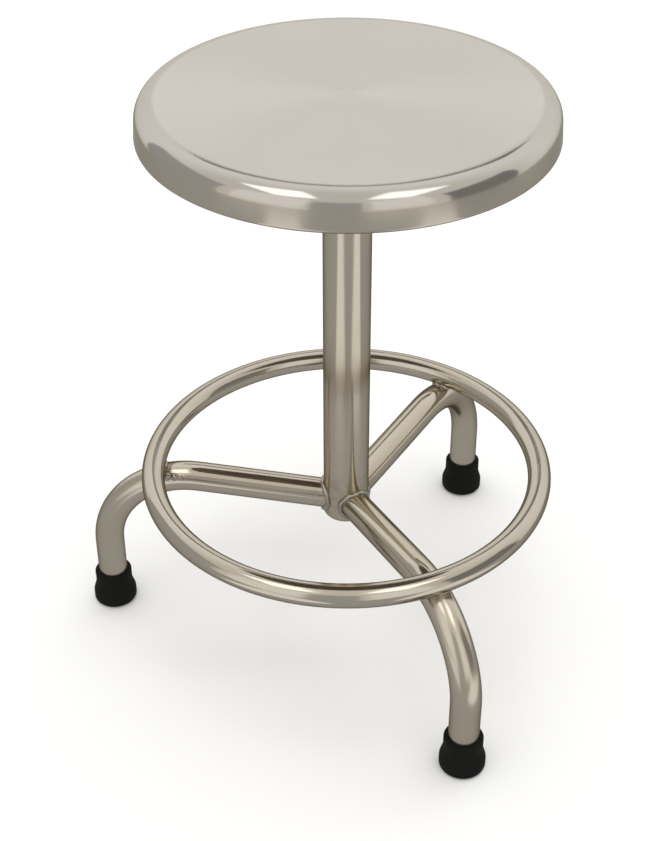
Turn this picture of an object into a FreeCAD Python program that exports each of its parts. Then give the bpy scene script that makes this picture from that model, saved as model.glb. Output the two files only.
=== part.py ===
import FreeCAD, Part
import math
import os

# Revolving stool with a screw lift: a pressed round seat on a spindle that screws into a column,
# on three bent tube legs with a foot ring. Millimetres, +Z up, origin on the floor at the column's axis.
# The seat is at its lowest, with the thrust washer down on the spindle nut.

# Seat pan, pressed from sheet
SEAT_HEIGHT = 494.0
SEAT_DIAMETER = 310.0
SEAT_SHEET = 1.2
SEAT_RIM_DEPTH = 29.0
SEAT_EDGE_RADIUS = 13.5
SEAT_RIM_DRAFT = 2.0
SEAT_HEM_WIDTH = 8.0
SEAT_HEM_UPSTAND = 6.0
SEAT_HEM_RADIUS = 3.0

# Dish spot-welded under the pan
DISH_SHEET = 2.0
DISH_DEPTH = 10.0
DISH_DIAMETER = 200.0
DISH_FLOOR_DIAMETER = 132.0
DISH_WALL_RUN = 10.0
DISH_BEND_RADIUS = 4.0
DISH_BORE_DIAMETER = 42.0

# Flange on the spindle, bolted to the dish
FLANGE_DIAMETER = 112.0
FLANGE_THICKNESS = 5.0
FLANGE_EDGE_CHAMFER = 0.8
FLANGE_BOLT_COUNT = 4
FLANGE_BOLT_CIRCLE = 84.0

# Bolts under the flange
BOLT_DIAMETER = 6.0
BOLT_HEAD_WIDTH = 10.0
BOLT_HEAD_HEIGHT = 4.0
BOLT_TIP_LENGTH = 1.0
WELD_NUT_HEIGHT = 5.0
LOCK_WASHER_THICKNESS = 1.6
LOCK_WASHER_WIDTH = 2.2
LOCK_WASHER_SPLIT = 1.2
HEXAGON_CROWN_ANGLE = 30.0

# Spindle, drawn at the outer diameter of its screw thread
SPINDLE_DIAMETER = 26.0
SPINDLE_SPIGOT_DIAMETER = 20.0
SPINDLE_SPIGOT_PROUD = 1.5
SPINDLE_END_CHAMFER = 1.5
SPINDLE_WELD_SIZE = 4.0
SEAT_TRAVEL = 160.0

# Stop at the spindle's lower end
STOP_WASHER_THICKNESS = 4.0
STOP_WASHER_CLEARANCE = 1.0
STOP_BOLT_DIAMETER = 10.0
STOP_BOLT_HEAD_WIDTH = 16.0
STOP_BOLT_HEAD_HEIGHT = 6.4
STOP_BOLT_REACH = 22.0

# Thrust washer and spindle nut
THRUST_WASHER_THICKNESS = 3.0
NUT_COLLAR_HEIGHT = 4.0
NUT_BODY_LENGTH = 40.0
NUT_EDGE_CHAMFER = 0.8

# Column
COLUMN_DIAMETER = 38.0
COLUMN_WALL = 1.5
COLUMN_TAIL_LENGTH = 17.0
END_CAP_THICKNESS = 3.0
END_CAP_EDGE_RADIUS = 2.5
END_CAP_SPIGOT_LENGTH = 6.0

# Legs, named as they stand in the photo
LEG_NAMES = ("left", "front", "rear")
LEG_DIAMETER = 25.0
LEG_WALL = 1.5
LEG_CIRCLE_RADIUS = 208.0
LEG_JOINT_HEIGHT = 128.0
LEG_RISE_ANGLE = 6.5
LEG_BEND_RADIUS = 74.0
FIRST_LEG_AZIMUTH = 180.0

# Foot ring
RING_RADIUS = 161.5
RING_TUBE_DIAMETER = 19.0
RING_WALL = 1.2
RING_SADDLE_DEPTH = 0.8

# Welds
LEG_WELD_SIZE = 3.6
LEG_WELD_TOE = 0.4
RING_WELD_SIZE = 3.0

# Rubber feet
FOOT_HEIGHT = 32.0
FOOT_DIAMETER = 37.5
FOOT_COLLAR_DIAMETER = 32.0
FOOT_COLLAR_HEIGHT = 13.0
FOOT_FLARE_HEIGHT = 9.0
FOOT_FLARE_RADIUS = 7.0
FOOT_BOTTOM_RADIUS = 3.5
FOOT_LIP_RADIUS = 1.4
FOOT_FLOOR = 8.0
FOOT_WASHER_THICKNESS = 1.5
FOOT_GROOVE_DEPTH = 1.2
FOOT_GROOVE_WIDTH = 2.0
FOOT_GROOVE_PITCH = 5.0
FOOT_GROOVE_COUNT = 2

# Clearances
RUNNING_CLEARANCE = 0.05
SEATING_CLEARANCE = 0.05
BOLT_HOLE_CLEARANCE = 0.3

# Heights of the seat's stack at rest, from the top down
PAN_UNDERSIDE = SEAT_HEIGHT - SEAT_SHEET
DISH_FLOOR_TOP = PAN_UNDERSIDE - DISH_DEPTH
FLANGE_TOP = DISH_FLOOR_TOP - DISH_SHEET
FLANGE_BOTTOM = FLANGE_TOP - FLANGE_THICKNESS
NUT_TOP = FLANGE_BOTTOM - THRUST_WASHER_THICKNESS
COLUMN_TOP = NUT_TOP - NUT_COLLAR_HEIGHT
NUT_BOTTOM = COLUMN_TOP - NUT_BODY_LENGTH
SPINDLE_BOTTOM = NUT_BOTTOM - SEAT_TRAVEL
STOP_WASHER_BOTTOM = SPINDLE_BOTTOM - STOP_WASHER_THICKNESS
STOP_LOCK_WASHER_BOTTOM = STOP_WASHER_BOTTOM - LOCK_WASHER_THICKNESS

# Radii that the tubes give to what fits in and on them
SPINDLE_RADIUS = SPINDLE_DIAMETER / 2
COLUMN_RADIUS = COLUMN_DIAMETER / 2
COLUMN_BORE_RADIUS = COLUMN_RADIUS - COLUMN_WALL
COLUMN_BOTTOM = LEG_JOINT_HEIGHT - COLUMN_TAIL_LENGTH
COLUMN_TUBE_BOTTOM = COLUMN_BOTTOM + END_CAP_THICKNESS
LEG_RADIUS = LEG_DIAMETER / 2
RING_TUBE_RADIUS = RING_TUBE_DIAMETER / 2
FOOT_SOCKET_RADIUS = LEG_RADIUS + SEATING_CLEARANCE
LEG_BOTTOM = FOOT_FLOOR + FOOT_WASHER_THICKNESS

# The leg's centre line in its own upright plane: a straight spoke, one bend and a vertical post
LEG_RISE = math.radians(LEG_RISE_ANGLE)
LEG_TURN = math.pi / 2 + LEG_RISE
LEG_CORNER_HEIGHT = LEG_JOINT_HEIGHT + (LEG_CIRCLE_RADIUS - COLUMN_RADIUS) * math.tan(LEG_RISE)
BEND_CENTRE_RADIUS = LEG_CIRCLE_RADIUS - LEG_BEND_RADIUS
BEND_CENTRE_HEIGHT = LEG_CORNER_HEIGHT - LEG_BEND_RADIUS * math.tan(LEG_TURN / 2)

UP = FreeCAD.Vector(0, 0, 1)
AXIS_POINT = FreeCAD.Vector(0, 0, 0)
SHORTEST_EDGE = 1e-6
EDGE_TOLERANCE = 0.05


def point(radius, height):
    """A point in the upright plane through +X."""
    return FreeCAD.Vector(radius, 0, height)


def leg_azimuths():
    """The directions of the legs from the column, in degrees."""
    count = len(LEG_NAMES)
    return [FIRST_LEG_AZIMUTH + 360.0 / count * i for i in range(count)]


def around_axis(shape, azimuth):
    """A copy of a shape turned about the column's axis."""
    turned = shape.copy()
    turned.rotate(AXIS_POINT, UP, azimuth)
    return turned


def corner(before, at, after, radius):
    """Where an arc of the given radius meets the two sides of a corner, and the arc's middle."""
    to_before = (before - at).normalize()
    to_after = (after - at).normalize()
    half_angle = to_before.getAngle(to_after) / 2
    reach = radius / math.tan(half_angle)
    bisector = (to_before + to_after).normalize()
    middle = at + bisector * (radius / math.sin(half_angle) - radius)
    return at + to_before * reach, middle, at + to_after * reach


def rounded_edges(corners, closed):
    """Lines and arcs through corners given as (point, radius)."""
    count = len(corners)
    edges = []
    start = corners[0][0]
    stops = range(count) if closed else range(1, count - 1)
    arcs = []
    for i in stops:
        at, radius = corners[i]
        before = corners[i - 1][0]
        after = corners[(i + 1) % count][0]
        arcs.append(corner(before, at, after, radius) if radius else (at, None, at))
    if closed:
        start = arcs[-1][2]
    for first, middle, last in arcs:
        if (first - start).Length > SHORTEST_EDGE:
            edges.append(Part.LineSegment(start, first).toShape())
        if middle:
            edges.append(Part.Arc(first, middle, last).toShape())
        start = last
    if not closed and (corners[-1][0] - start).Length > SHORTEST_EDGE:
        edges.append(Part.LineSegment(start, corners[-1][0]).toShape())
    return edges


def revolved(corners):
    """A solid turned about the column's axis from a closed outline of (radius, height, corner radius)."""
    outline = [(point(radius, height), bend) for radius, height, bend in corners]
    face = Part.Face(Part.Wire(rounded_edges(outline, closed=True)))
    return face.revolve(AXIS_POINT, UP, 360)


def sheet_corners(path, sheet):
    """The closed outline of a bent sheet that lies to the right of a path of (radius, height, bend)."""
    points = [FreeCAD.Vector(radius, height, 0) for radius, height, _ in path]
    sides = [(points[i + 1] - points[i]).normalize() for i in range(len(points) - 1)]
    rights = [FreeCAD.Vector(side.y, -side.x, 0) for side in sides]
    back = []
    for i, (_, _, bend) in enumerate(path):
        before = rights[max(i - 1, 0)]
        after = rights[min(i, len(rights) - 1)]
        mitre = (before + after) * (sheet / (1 + before.dot(after)))
        turns_right = before.cross(after).z < 0
        far_bend = max(bend - sheet, 0.0) if turns_right else bend + sheet
        moved = points[i] + mitre
        back.append((moved.x, moved.y, far_bend if bend else 0.0))
    return list(path) + back[::-1]


def tube_shape(radius, height, bottom):
    """An upright solid cylinder on the column's axis."""
    return Part.makeCylinder(radius, height, point(0, bottom), UP)


def hexagon_prism(width, height, crowned_top):
    """A hexagon bar standing on z = 0, width across its flats, with the corners of one end turned off."""
    corner_radius = width / math.sqrt(3)
    turns = [math.radians(60 * i) for i in range(6)]
    corners = [FreeCAD.Vector(math.cos(turn), math.sin(turn), 0) * corner_radius for turn in turns]
    bar = Part.Face(Part.makePolygon(corners + corners[:1])).extrude(UP * height)
    narrow = width / 2
    wide = narrow + height / math.tan(math.radians(HEXAGON_CROWN_ANGLE))
    if crowned_top:
        return bar.common(Part.makeCone(wide, narrow, height))
    return bar.common(Part.makeCone(narrow, wide, height))


def hexagon_bolt(diameter, head_width, head_height, reach):
    """A hexagon bolt pointing up, with the underside of its head at z = 0."""
    head = hexagon_prism(head_width, head_height, crowned_top=False)
    head.translate(UP * -head_height)
    return head.fuse(Part.makeCylinder(diameter / 2, reach)).removeSplitter()


def lock_washer(bolt_diameter, split_azimuth):
    """A split spring washer lying on z = 0."""
    inner = bolt_diameter / 2 + SEATING_CLEARANCE
    outer = inner + LOCK_WASHER_WIDTH
    ring = revolved([
        (inner, 0, 0),
        (outer, 0, 0),
        (outer, LOCK_WASHER_THICKNESS, 0),
        (inner, LOCK_WASHER_THICKNESS, 0),
    ])
    split = Part.makeBox(outer * 2, LOCK_WASHER_SPLIT, LOCK_WASHER_THICKNESS, point(0, 0))
    return around_axis(ring.cut(split), split_azimuth)


def flange_bolt_places():
    """The bolt places on the flange's bolt circle, at z = 0."""
    radius = FLANGE_BOLT_CIRCLE / 2
    turns = [2 * math.pi * (i + 0.5) / FLANGE_BOLT_COUNT for i in range(FLANGE_BOLT_COUNT)]
    return [FreeCAD.Vector(radius * math.cos(turn), radius * math.sin(turn), 0) for turn in turns]


def at_flange_bolts(shape, height):
    """Copies of a shape at every flange bolt."""
    copies = []
    for place in flange_bolt_places():
        copy = shape.copy()
        copy.translate(place + UP * height)
        copies.append(copy)
    return Part.makeCompound(copies)


def seat_pan():
    """The pan: flat top, rounded edge, slightly drafted skirt and a hem turned in and up."""
    radius = SEAT_DIAMETER / 2
    bottom = SEAT_HEIGHT - SEAT_RIM_DEPTH
    hem_radius = radius - SEAT_HEM_WIDTH
    path = [
        (0, SEAT_HEIGHT, 0),
        (radius - SEAT_RIM_DRAFT, SEAT_HEIGHT, SEAT_EDGE_RADIUS),
        (radius, bottom, SEAT_HEM_RADIUS),
        (hem_radius, bottom, SEAT_HEM_RADIUS),
        (hem_radius, bottom + SEAT_HEM_UPSTAND, 0),
    ]
    return revolved(sheet_corners(path, SEAT_SHEET))


def mounting_dish():
    """The dish under the pan: a flange on the pan, a sloping wall and a floor for the spindle's flange."""
    floor_radius = DISH_FLOOR_DIAMETER / 2
    path = [
        (DISH_BORE_DIAMETER / 2, DISH_FLOOR_TOP, 0),
        (floor_radius, DISH_FLOOR_TOP, DISH_BEND_RADIUS),
        (floor_radius + DISH_WALL_RUN, PAN_UNDERSIDE, DISH_BEND_RADIUS),
        (DISH_DIAMETER / 2, PAN_UNDERSIDE, 0),
    ]
    hole = Part.makeCylinder(BOLT_DIAMETER / 2 + BOLT_HOLE_CLEARANCE, DISH_SHEET)
    return revolved(sheet_corners(path, DISH_SHEET)).cut(at_flange_bolts(hole, FLANGE_TOP))


def weld_nuts():
    """The nuts welded on the dish's floor, one over each flange bolt."""
    nut = hexagon_prism(BOLT_HEAD_WIDTH, WELD_NUT_HEIGHT, crowned_top=True)
    bore = Part.makeCylinder(BOLT_DIAMETER / 2 + SEATING_CLEARANCE, WELD_NUT_HEIGHT)
    return at_flange_bolts(nut.cut(bore), DISH_FLOOR_TOP)


def spindle_flange():
    """The round plate on top of the spindle, drilled for the spigot and the bolts."""
    inner = SPINDLE_SPIGOT_DIAMETER / 2 + SEATING_CLEARANCE
    outer = FLANGE_DIAMETER / 2
    plate = revolved([
        (inner, FLANGE_BOTTOM, 0),
        (outer - FLANGE_EDGE_CHAMFER, FLANGE_BOTTOM, 0),
        (outer, FLANGE_BOTTOM + FLANGE_EDGE_CHAMFER, 0),
        (outer, FLANGE_TOP, 0),
        (inner, FLANGE_TOP, 0),
    ])
    hole = Part.makeCylinder(BOLT_DIAMETER / 2 + BOLT_HOLE_CLEARANCE, FLANGE_THICKNESS)
    return plate.cut(at_flange_bolts(hole, FLANGE_BOTTOM))


def flange_bolts():
    """The bolts that go up through the flange and the dish into the weld nuts."""
    grip = LOCK_WASHER_THICKNESS + FLANGE_THICKNESS + DISH_SHEET
    reach = grip + WELD_NUT_HEIGHT + BOLT_TIP_LENGTH
    bolt = hexagon_bolt(BOLT_DIAMETER, BOLT_HEAD_WIDTH, BOLT_HEAD_HEIGHT, reach)
    return at_flange_bolts(bolt, FLANGE_BOTTOM - LOCK_WASHER_THICKNESS)


def flange_lock_washers():
    """The spring washers between the bolt heads and the flange."""
    return at_flange_bolts(lock_washer(BOLT_DIAMETER, 0), FLANGE_BOTTOM - LOCK_WASHER_THICKNESS)


def spindle():
    """The screw: a spigot through the flange, a shoulder under it and a tapped lower end."""
    spigot = SPINDLE_SPIGOT_DIAMETER / 2
    tapped = STOP_BOLT_DIAMETER / 2 + SEATING_CLEARANCE
    tapped_top = SPINDLE_BOTTOM + STOP_BOLT_REACH
    return revolved([
        (0, tapped_top, 0),
        (tapped, tapped_top, 0),
        (tapped, SPINDLE_BOTTOM, 0),
        (SPINDLE_RADIUS - SPINDLE_END_CHAMFER, SPINDLE_BOTTOM, 0),
        (SPINDLE_RADIUS, SPINDLE_BOTTOM + SPINDLE_END_CHAMFER, 0),
        (SPINDLE_RADIUS, FLANGE_BOTTOM, 0),
        (spigot, FLANGE_BOTTOM, 0),
        (spigot, FLANGE_TOP + SPINDLE_SPIGOT_PROUD, 0),
        (0, FLANGE_TOP + SPINDLE_SPIGOT_PROUD, 0),
    ])


def spindle_weld():
    """The fillet weld round the spigot on top of the flange."""
    inner = SPINDLE_SPIGOT_DIAMETER / 2 + SEATING_CLEARANCE
    return revolved([
        (inner, FLANGE_TOP, 0),
        (inner + SPINDLE_WELD_SIZE, FLANGE_TOP, 0),
        (inner, FLANGE_TOP + SPINDLE_SPIGOT_PROUD, 0),
    ])


def stop_washer():
    """The plate on the spindle's lower end that meets the nut when the seat is fully up."""
    inner = STOP_BOLT_DIAMETER / 2 + BOLT_HOLE_CLEARANCE
    outer = COLUMN_BORE_RADIUS - STOP_WASHER_CLEARANCE
    return revolved([
        (inner, STOP_WASHER_BOTTOM, 0),
        (outer, STOP_WASHER_BOTTOM, 0),
        (outer, SPINDLE_BOTTOM, 0),
        (inner, SPINDLE_BOTTOM, 0),
    ])


def stop_lock_washer():
    """The spring washer under the stop bolt's head."""
    washer = lock_washer(STOP_BOLT_DIAMETER, 0)
    washer.translate(UP * STOP_LOCK_WASHER_BOTTOM)
    return washer


def stop_bolt():
    """The bolt that holds the stop washer on the spindle's end."""
    reach = SPINDLE_BOTTOM - STOP_LOCK_WASHER_BOTTOM + STOP_BOLT_REACH
    bolt = hexagon_bolt(STOP_BOLT_DIAMETER, STOP_BOLT_HEAD_WIDTH, STOP_BOLT_HEAD_HEIGHT, reach)
    bolt.translate(UP * STOP_LOCK_WASHER_BOTTOM)
    return bolt


def thrust_washer():
    """The loose washer on the spindle that the flange comes down on."""
    inner = SPINDLE_RADIUS + RUNNING_CLEARANCE
    return revolved([
        (inner, NUT_TOP, 0),
        (COLUMN_RADIUS, NUT_TOP, 0),
        (COLUMN_RADIUS, FLANGE_BOTTOM, 0),
        (inner, FLANGE_BOTTOM, 0),
    ])


def spindle_nut():
    """The threaded bush in the column: a collar on the tube's end and a body in its bore."""
    inner = SPINDLE_RADIUS + RUNNING_CLEARANCE
    body = COLUMN_BORE_RADIUS - SEATING_CLEARANCE
    return revolved([
        (inner, NUT_BOTTOM, 0),
        (body - NUT_EDGE_CHAMFER, NUT_BOTTOM, 0),
        (body, NUT_BOTTOM + NUT_EDGE_CHAMFER, 0),
        (body, COLUMN_TOP, 0),
        (COLUMN_RADIUS, COLUMN_TOP, 0),
        (COLUMN_RADIUS, NUT_TOP - NUT_EDGE_CHAMFER, 0),
        (COLUMN_RADIUS - NUT_EDGE_CHAMFER, NUT_TOP, 0),
        (inner, NUT_TOP, 0),
    ])


def column_tube():
    """The upright tube between the end cap and the nut's collar."""
    height = COLUMN_TOP - COLUMN_TUBE_BOTTOM
    outside = tube_shape(COLUMN_RADIUS, height, COLUMN_TUBE_BOTTOM)
    return outside.cut(tube_shape(COLUMN_BORE_RADIUS, height, COLUMN_TUBE_BOTTOM))


def column_end_cap():
    """The plug in the column's lower end, with a rounded edge."""
    spigot = COLUMN_BORE_RADIUS - SEATING_CLEARANCE
    return revolved([
        (0, COLUMN_BOTTOM, 0),
        (COLUMN_RADIUS, COLUMN_BOTTOM, END_CAP_EDGE_RADIUS),
        (COLUMN_RADIUS, COLUMN_TUBE_BOTTOM, 0),
        (spigot, COLUMN_TUBE_BOTTOM, 0),
        (spigot, COLUMN_TUBE_BOTTOM + END_CAP_SPIGOT_LENGTH, 0),
        (0, COLUMN_TUBE_BOTTOM + END_CAP_SPIGOT_LENGTH, 0),
    ])


def leg_sweep(radius):
    """A round bar along the leg's centre line, from the column's axis to the post's lower end."""
    start = point(0, LEG_JOINT_HEIGHT - COLUMN_RADIUS * math.tan(LEG_RISE))
    bend_corner = point(LEG_CIRCLE_RADIUS, LEG_CORNER_HEIGHT)
    end = point(LEG_CIRCLE_RADIUS, LEG_BOTTOM)
    path = Part.Wire(rounded_edges([(start, 0), (bend_corner, LEG_BEND_RADIUS), (end, 0)], closed=False))
    along = FreeCAD.Vector(math.cos(LEG_RISE), 0, math.sin(LEG_RISE))
    section = Part.Wire(Part.makeCircle(radius, start, along))
    return path.makePipeShell([section], True, True)


def ring_height():
    """The height of the ring's centre line, where its tube lies in its saddles on the legs."""
    apart = LEG_RADIUS + RING_TUBE_RADIUS - RING_SADDLE_DEPTH
    from_bend = LEG_BEND_RADIUS + apart
    outwards = RING_RADIUS - BEND_CENTRE_RADIUS
    if outwards >= -from_bend * math.sin(LEG_RISE):
        return BEND_CENTRE_HEIGHT + math.sqrt(from_bend ** 2 - outwards ** 2)
    spoke_height = LEG_JOINT_HEIGHT + (RING_RADIUS - COLUMN_RADIUS) * math.tan(LEG_RISE)
    return spoke_height + apart / math.cos(LEG_RISE)


def ring_torus(tube_radius):
    """A full ring about the column's axis along the foot ring's centre line."""
    return Part.makeTorus(RING_RADIUS, tube_radius, point(0, ring_height()), UP)


def leg():
    """A leg along +X: a bent tube coped to the column and hollowed to a saddle under the ring."""
    bar = leg_sweep(LEG_RADIUS).cut(leg_sweep(LEG_RADIUS - LEG_WALL))
    cope = tube_shape(COLUMN_RADIUS + SEATING_CLEARANCE, SEAT_HEIGHT, 0)
    return bar.cut(cope).cut(ring_torus(RING_TUBE_RADIUS + SEATING_CLEARANCE))


def leg_weld():
    """The weld between a leg along +X and the column, a fillet round the leg's coped end."""
    bead_radius = COLUMN_RADIUS + LEG_WELD_SIZE
    bead = leg_sweep(LEG_RADIUS + LEG_WELD_SIZE).common(tube_shape(bead_radius, SEAT_HEIGHT, 0))
    bead = bead.cut(tube_shape(COLUMN_RADIUS + SEATING_CLEARANCE, SEAT_HEIGHT, 0))
    bead = bead.cut(leg_sweep(LEG_RADIUS + SEATING_CLEARANCE))
    outer_edges = [edge for edge in bead.Edges if edge_is_outer(edge, bead_radius)]
    return bead.makeChamfer(LEG_WELD_SIZE - SEATING_CLEARANCE - LEG_WELD_TOE, outer_edges)


def edge_is_outer(edge, bead_radius):
    """Whether an edge of a leg weld is the one away from both the leg and the column."""
    middle = edge.valueAt((edge.FirstParameter + edge.LastParameter) / 2)
    spoke_height = LEG_JOINT_HEIGHT + (middle.x - COLUMN_RADIUS) * math.tan(LEG_RISE)
    off_spoke = math.hypot(middle.y, (middle.z - spoke_height) * math.cos(LEG_RISE))
    off_axis = math.hypot(middle.x, middle.y)
    on_column_side = abs(off_axis - bead_radius) < EDGE_TOLERANCE
    return on_column_side and abs(off_spoke - LEG_RADIUS - LEG_WELD_SIZE) < EDGE_TOLERANCE


def ring_weld():
    """The weld in the hollow between the ring and a leg along +X."""
    bead = leg_sweep(LEG_RADIUS + RING_WELD_SIZE).common(ring_torus(RING_TUBE_RADIUS + RING_WELD_SIZE))
    bead = bead.cut(leg_sweep(LEG_RADIUS + SEATING_CLEARANCE))
    return bead.cut(ring_torus(RING_TUBE_RADIUS + SEATING_CLEARANCE))


def foot_ring():
    """The foot ring, one tube bent to a closed ring."""
    return ring_torus(RING_TUBE_RADIUS).cut(ring_torus(RING_TUBE_RADIUS - RING_WALL))


def rubber_foot():
    """A rubber foot on the column's axis: a collar round the leg, a flared skirt and a grooved sole."""
    outer = FOOT_DIAMETER / 2
    collar = FOOT_COLLAR_DIAMETER / 2
    flare_top = FOOT_HEIGHT - FOOT_COLLAR_HEIGHT
    foot = revolved([
        (0, 0, 0),
        (outer, 0, FOOT_BOTTOM_RADIUS),
        (outer, flare_top - FOOT_FLARE_HEIGHT, FOOT_FLARE_RADIUS),
        (collar, flare_top, FOOT_FLARE_RADIUS),
        (collar, FOOT_HEIGHT, FOOT_LIP_RADIUS),
        (FOOT_SOCKET_RADIUS, FOOT_HEIGHT, 0),
        (FOOT_SOCKET_RADIUS, FOOT_FLOOR, 0),
        (0, FOOT_FLOOR, 0),
    ])
    for i in range(FOOT_GROOVE_COUNT):
        middle = FOOT_GROOVE_PITCH * (i + 1)
        groove = tube_shape(middle + FOOT_GROOVE_WIDTH / 2, FOOT_GROOVE_DEPTH, 0)
        foot = foot.cut(groove.cut(tube_shape(middle - FOOT_GROOVE_WIDTH / 2, FOOT_GROOVE_DEPTH, 0)))
    return foot


def foot_washer():
    """The steel disc on the floor of a foot's socket, under the leg's end."""
    return tube_shape(LEG_RADIUS, FOOT_WASHER_THICKNESS, FOOT_FLOOR)


def moved_to_post(shape, azimuth):
    """A copy of a shape made on the column's axis, at the foot of the leg in one direction."""
    moved = shape.copy()
    moved.translate(FreeCAD.Vector(LEG_CIRCLE_RADIUS, 0, 0))
    return around_axis(moved, azimuth)


def build():
    """Every piece of the stool by its node's name."""
    pieces = {
        "seat_pan": seat_pan(),
        "mounting_dish": mounting_dish(),
        "weld_nuts": weld_nuts(),
        "spindle_flange": spindle_flange(),
        "flange_bolts": flange_bolts(),
        "flange_lock_washers": flange_lock_washers(),
        "spindle": spindle(),
        "spindle_weld": spindle_weld(),
        "stop_washer": stop_washer(),
        "stop_lock_washer": stop_lock_washer(),
        "stop_bolt": stop_bolt(),
        "thrust_washer": thrust_washer(),
        "spindle_nut": spindle_nut(),
        "column_tube": column_tube(),
        "column_end_cap": column_end_cap(),
        "foot_ring": foot_ring(),
    }
    one_leg = leg()
    one_foot = rubber_foot()
    one_leg_weld = leg_weld()
    one_ring_weld = ring_weld()
    one_washer = foot_washer()
    azimuths = leg_azimuths()
    for name, azimuth in zip(LEG_NAMES, azimuths):
        pieces[name + "_leg"] = around_axis(one_leg, azimuth)
        pieces[name + "_foot"] = moved_to_post(one_foot, azimuth)
    pieces["leg_welds"] = Part.makeCompound([around_axis(one_leg_weld, turn) for turn in azimuths])
    pieces["ring_welds"] = Part.makeCompound([around_axis(one_ring_weld, turn) for turn in azimuths])
    pieces["foot_washers"] = Part.makeCompound([moved_to_post(one_washer, turn) for turn in azimuths])
    return pieces


os.makedirs("parts", exist_ok=True)
for node, shape in build().items():
    shape.exportStep(os.path.join("parts", node + ".step"))
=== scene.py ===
"""Looks of a revolving screw stool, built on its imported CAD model.

Metres, +Z up, origin on the floor at the column's axis. The seat turns and rises with its screw.
"""

import logging
import math
from collections.abc import Callable, Mapping, Sequence
from dataclasses import dataclass
from enum import Enum

import bmesh
import bpy
from mathutils import Matrix, Vector


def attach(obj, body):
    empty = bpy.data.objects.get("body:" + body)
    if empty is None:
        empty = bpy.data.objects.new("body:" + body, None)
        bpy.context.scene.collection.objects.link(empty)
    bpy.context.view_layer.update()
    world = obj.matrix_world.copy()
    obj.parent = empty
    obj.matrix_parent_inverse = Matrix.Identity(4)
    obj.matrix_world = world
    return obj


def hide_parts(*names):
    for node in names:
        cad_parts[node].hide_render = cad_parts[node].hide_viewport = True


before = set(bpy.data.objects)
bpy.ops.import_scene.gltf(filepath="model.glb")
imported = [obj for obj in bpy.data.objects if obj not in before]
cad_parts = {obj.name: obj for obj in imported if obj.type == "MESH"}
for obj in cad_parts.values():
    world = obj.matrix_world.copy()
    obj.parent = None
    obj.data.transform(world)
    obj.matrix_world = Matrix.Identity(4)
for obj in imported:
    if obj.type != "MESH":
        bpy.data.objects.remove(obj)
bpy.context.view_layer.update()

LOG = logging.getLogger("stool")
TOUCH = 1e-6
MM = 0.001
# The legs' directions in degrees from +X: left, front and rear.
LEG_TURNS = (180.0, 300.0, 60.0)
LEFT_LEG = 0
Colour = tuple[float, float, float]
Point = tuple[float, float, float]
# What a socket takes: a signal, an output socket, a number, a vector or a colour.
Feed = object


class Signal:
    """A number that varies over a surface. Arithmetic on it adds Math nodes."""

    def __init__(self, graph: "NodeGraph", socket: bpy.types.NodeSocket) -> None:
        """Wraps an output socket of a graph."""
        self.graph = graph
        self.socket = socket

    def math(self, operation: str, *values: Feed) -> "Signal":
        """Adds a Math node.

        Args:
            operation: The node's operation.
            values: What feeds its sockets, in order.

        Returns:
            The node's result.
        """
        return self.graph.signal("ShaderNodeMath", {"operation": operation}, dict(enumerate(values)))

    def __add__(self, other: Feed) -> "Signal":
        """self + other."""
        return self.math("ADD", self, other)

    def __radd__(self, other: Feed) -> "Signal":
        """other + self."""
        return self.math("ADD", other, self)

    def __sub__(self, other: Feed) -> "Signal":
        """self - other."""
        return self.math("SUBTRACT", self, other)

    def __rsub__(self, other: Feed) -> "Signal":
        """other - self."""
        return self.math("SUBTRACT", other, self)

    def __mul__(self, other: Feed) -> "Signal":
        """self * other."""
        return self.math("MULTIPLY", self, other)

    def __rmul__(self, other: Feed) -> "Signal":
        """other * self."""
        return self.math("MULTIPLY", other, self)

    def rise(self, start: float, stop: float) -> "Signal":
        """A smooth step.

        Args:
            start: Where the step leaves 0.
            stop: Where it reaches 1.

        Returns:
            The step's height.
        """
        sockets = {"Value": self, "From Min": start, "From Max": stop}
        return self.graph.signal("ShaderNodeMapRange", {"interpolation_type": "SMOOTHSTEP"}, sockets)


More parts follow.
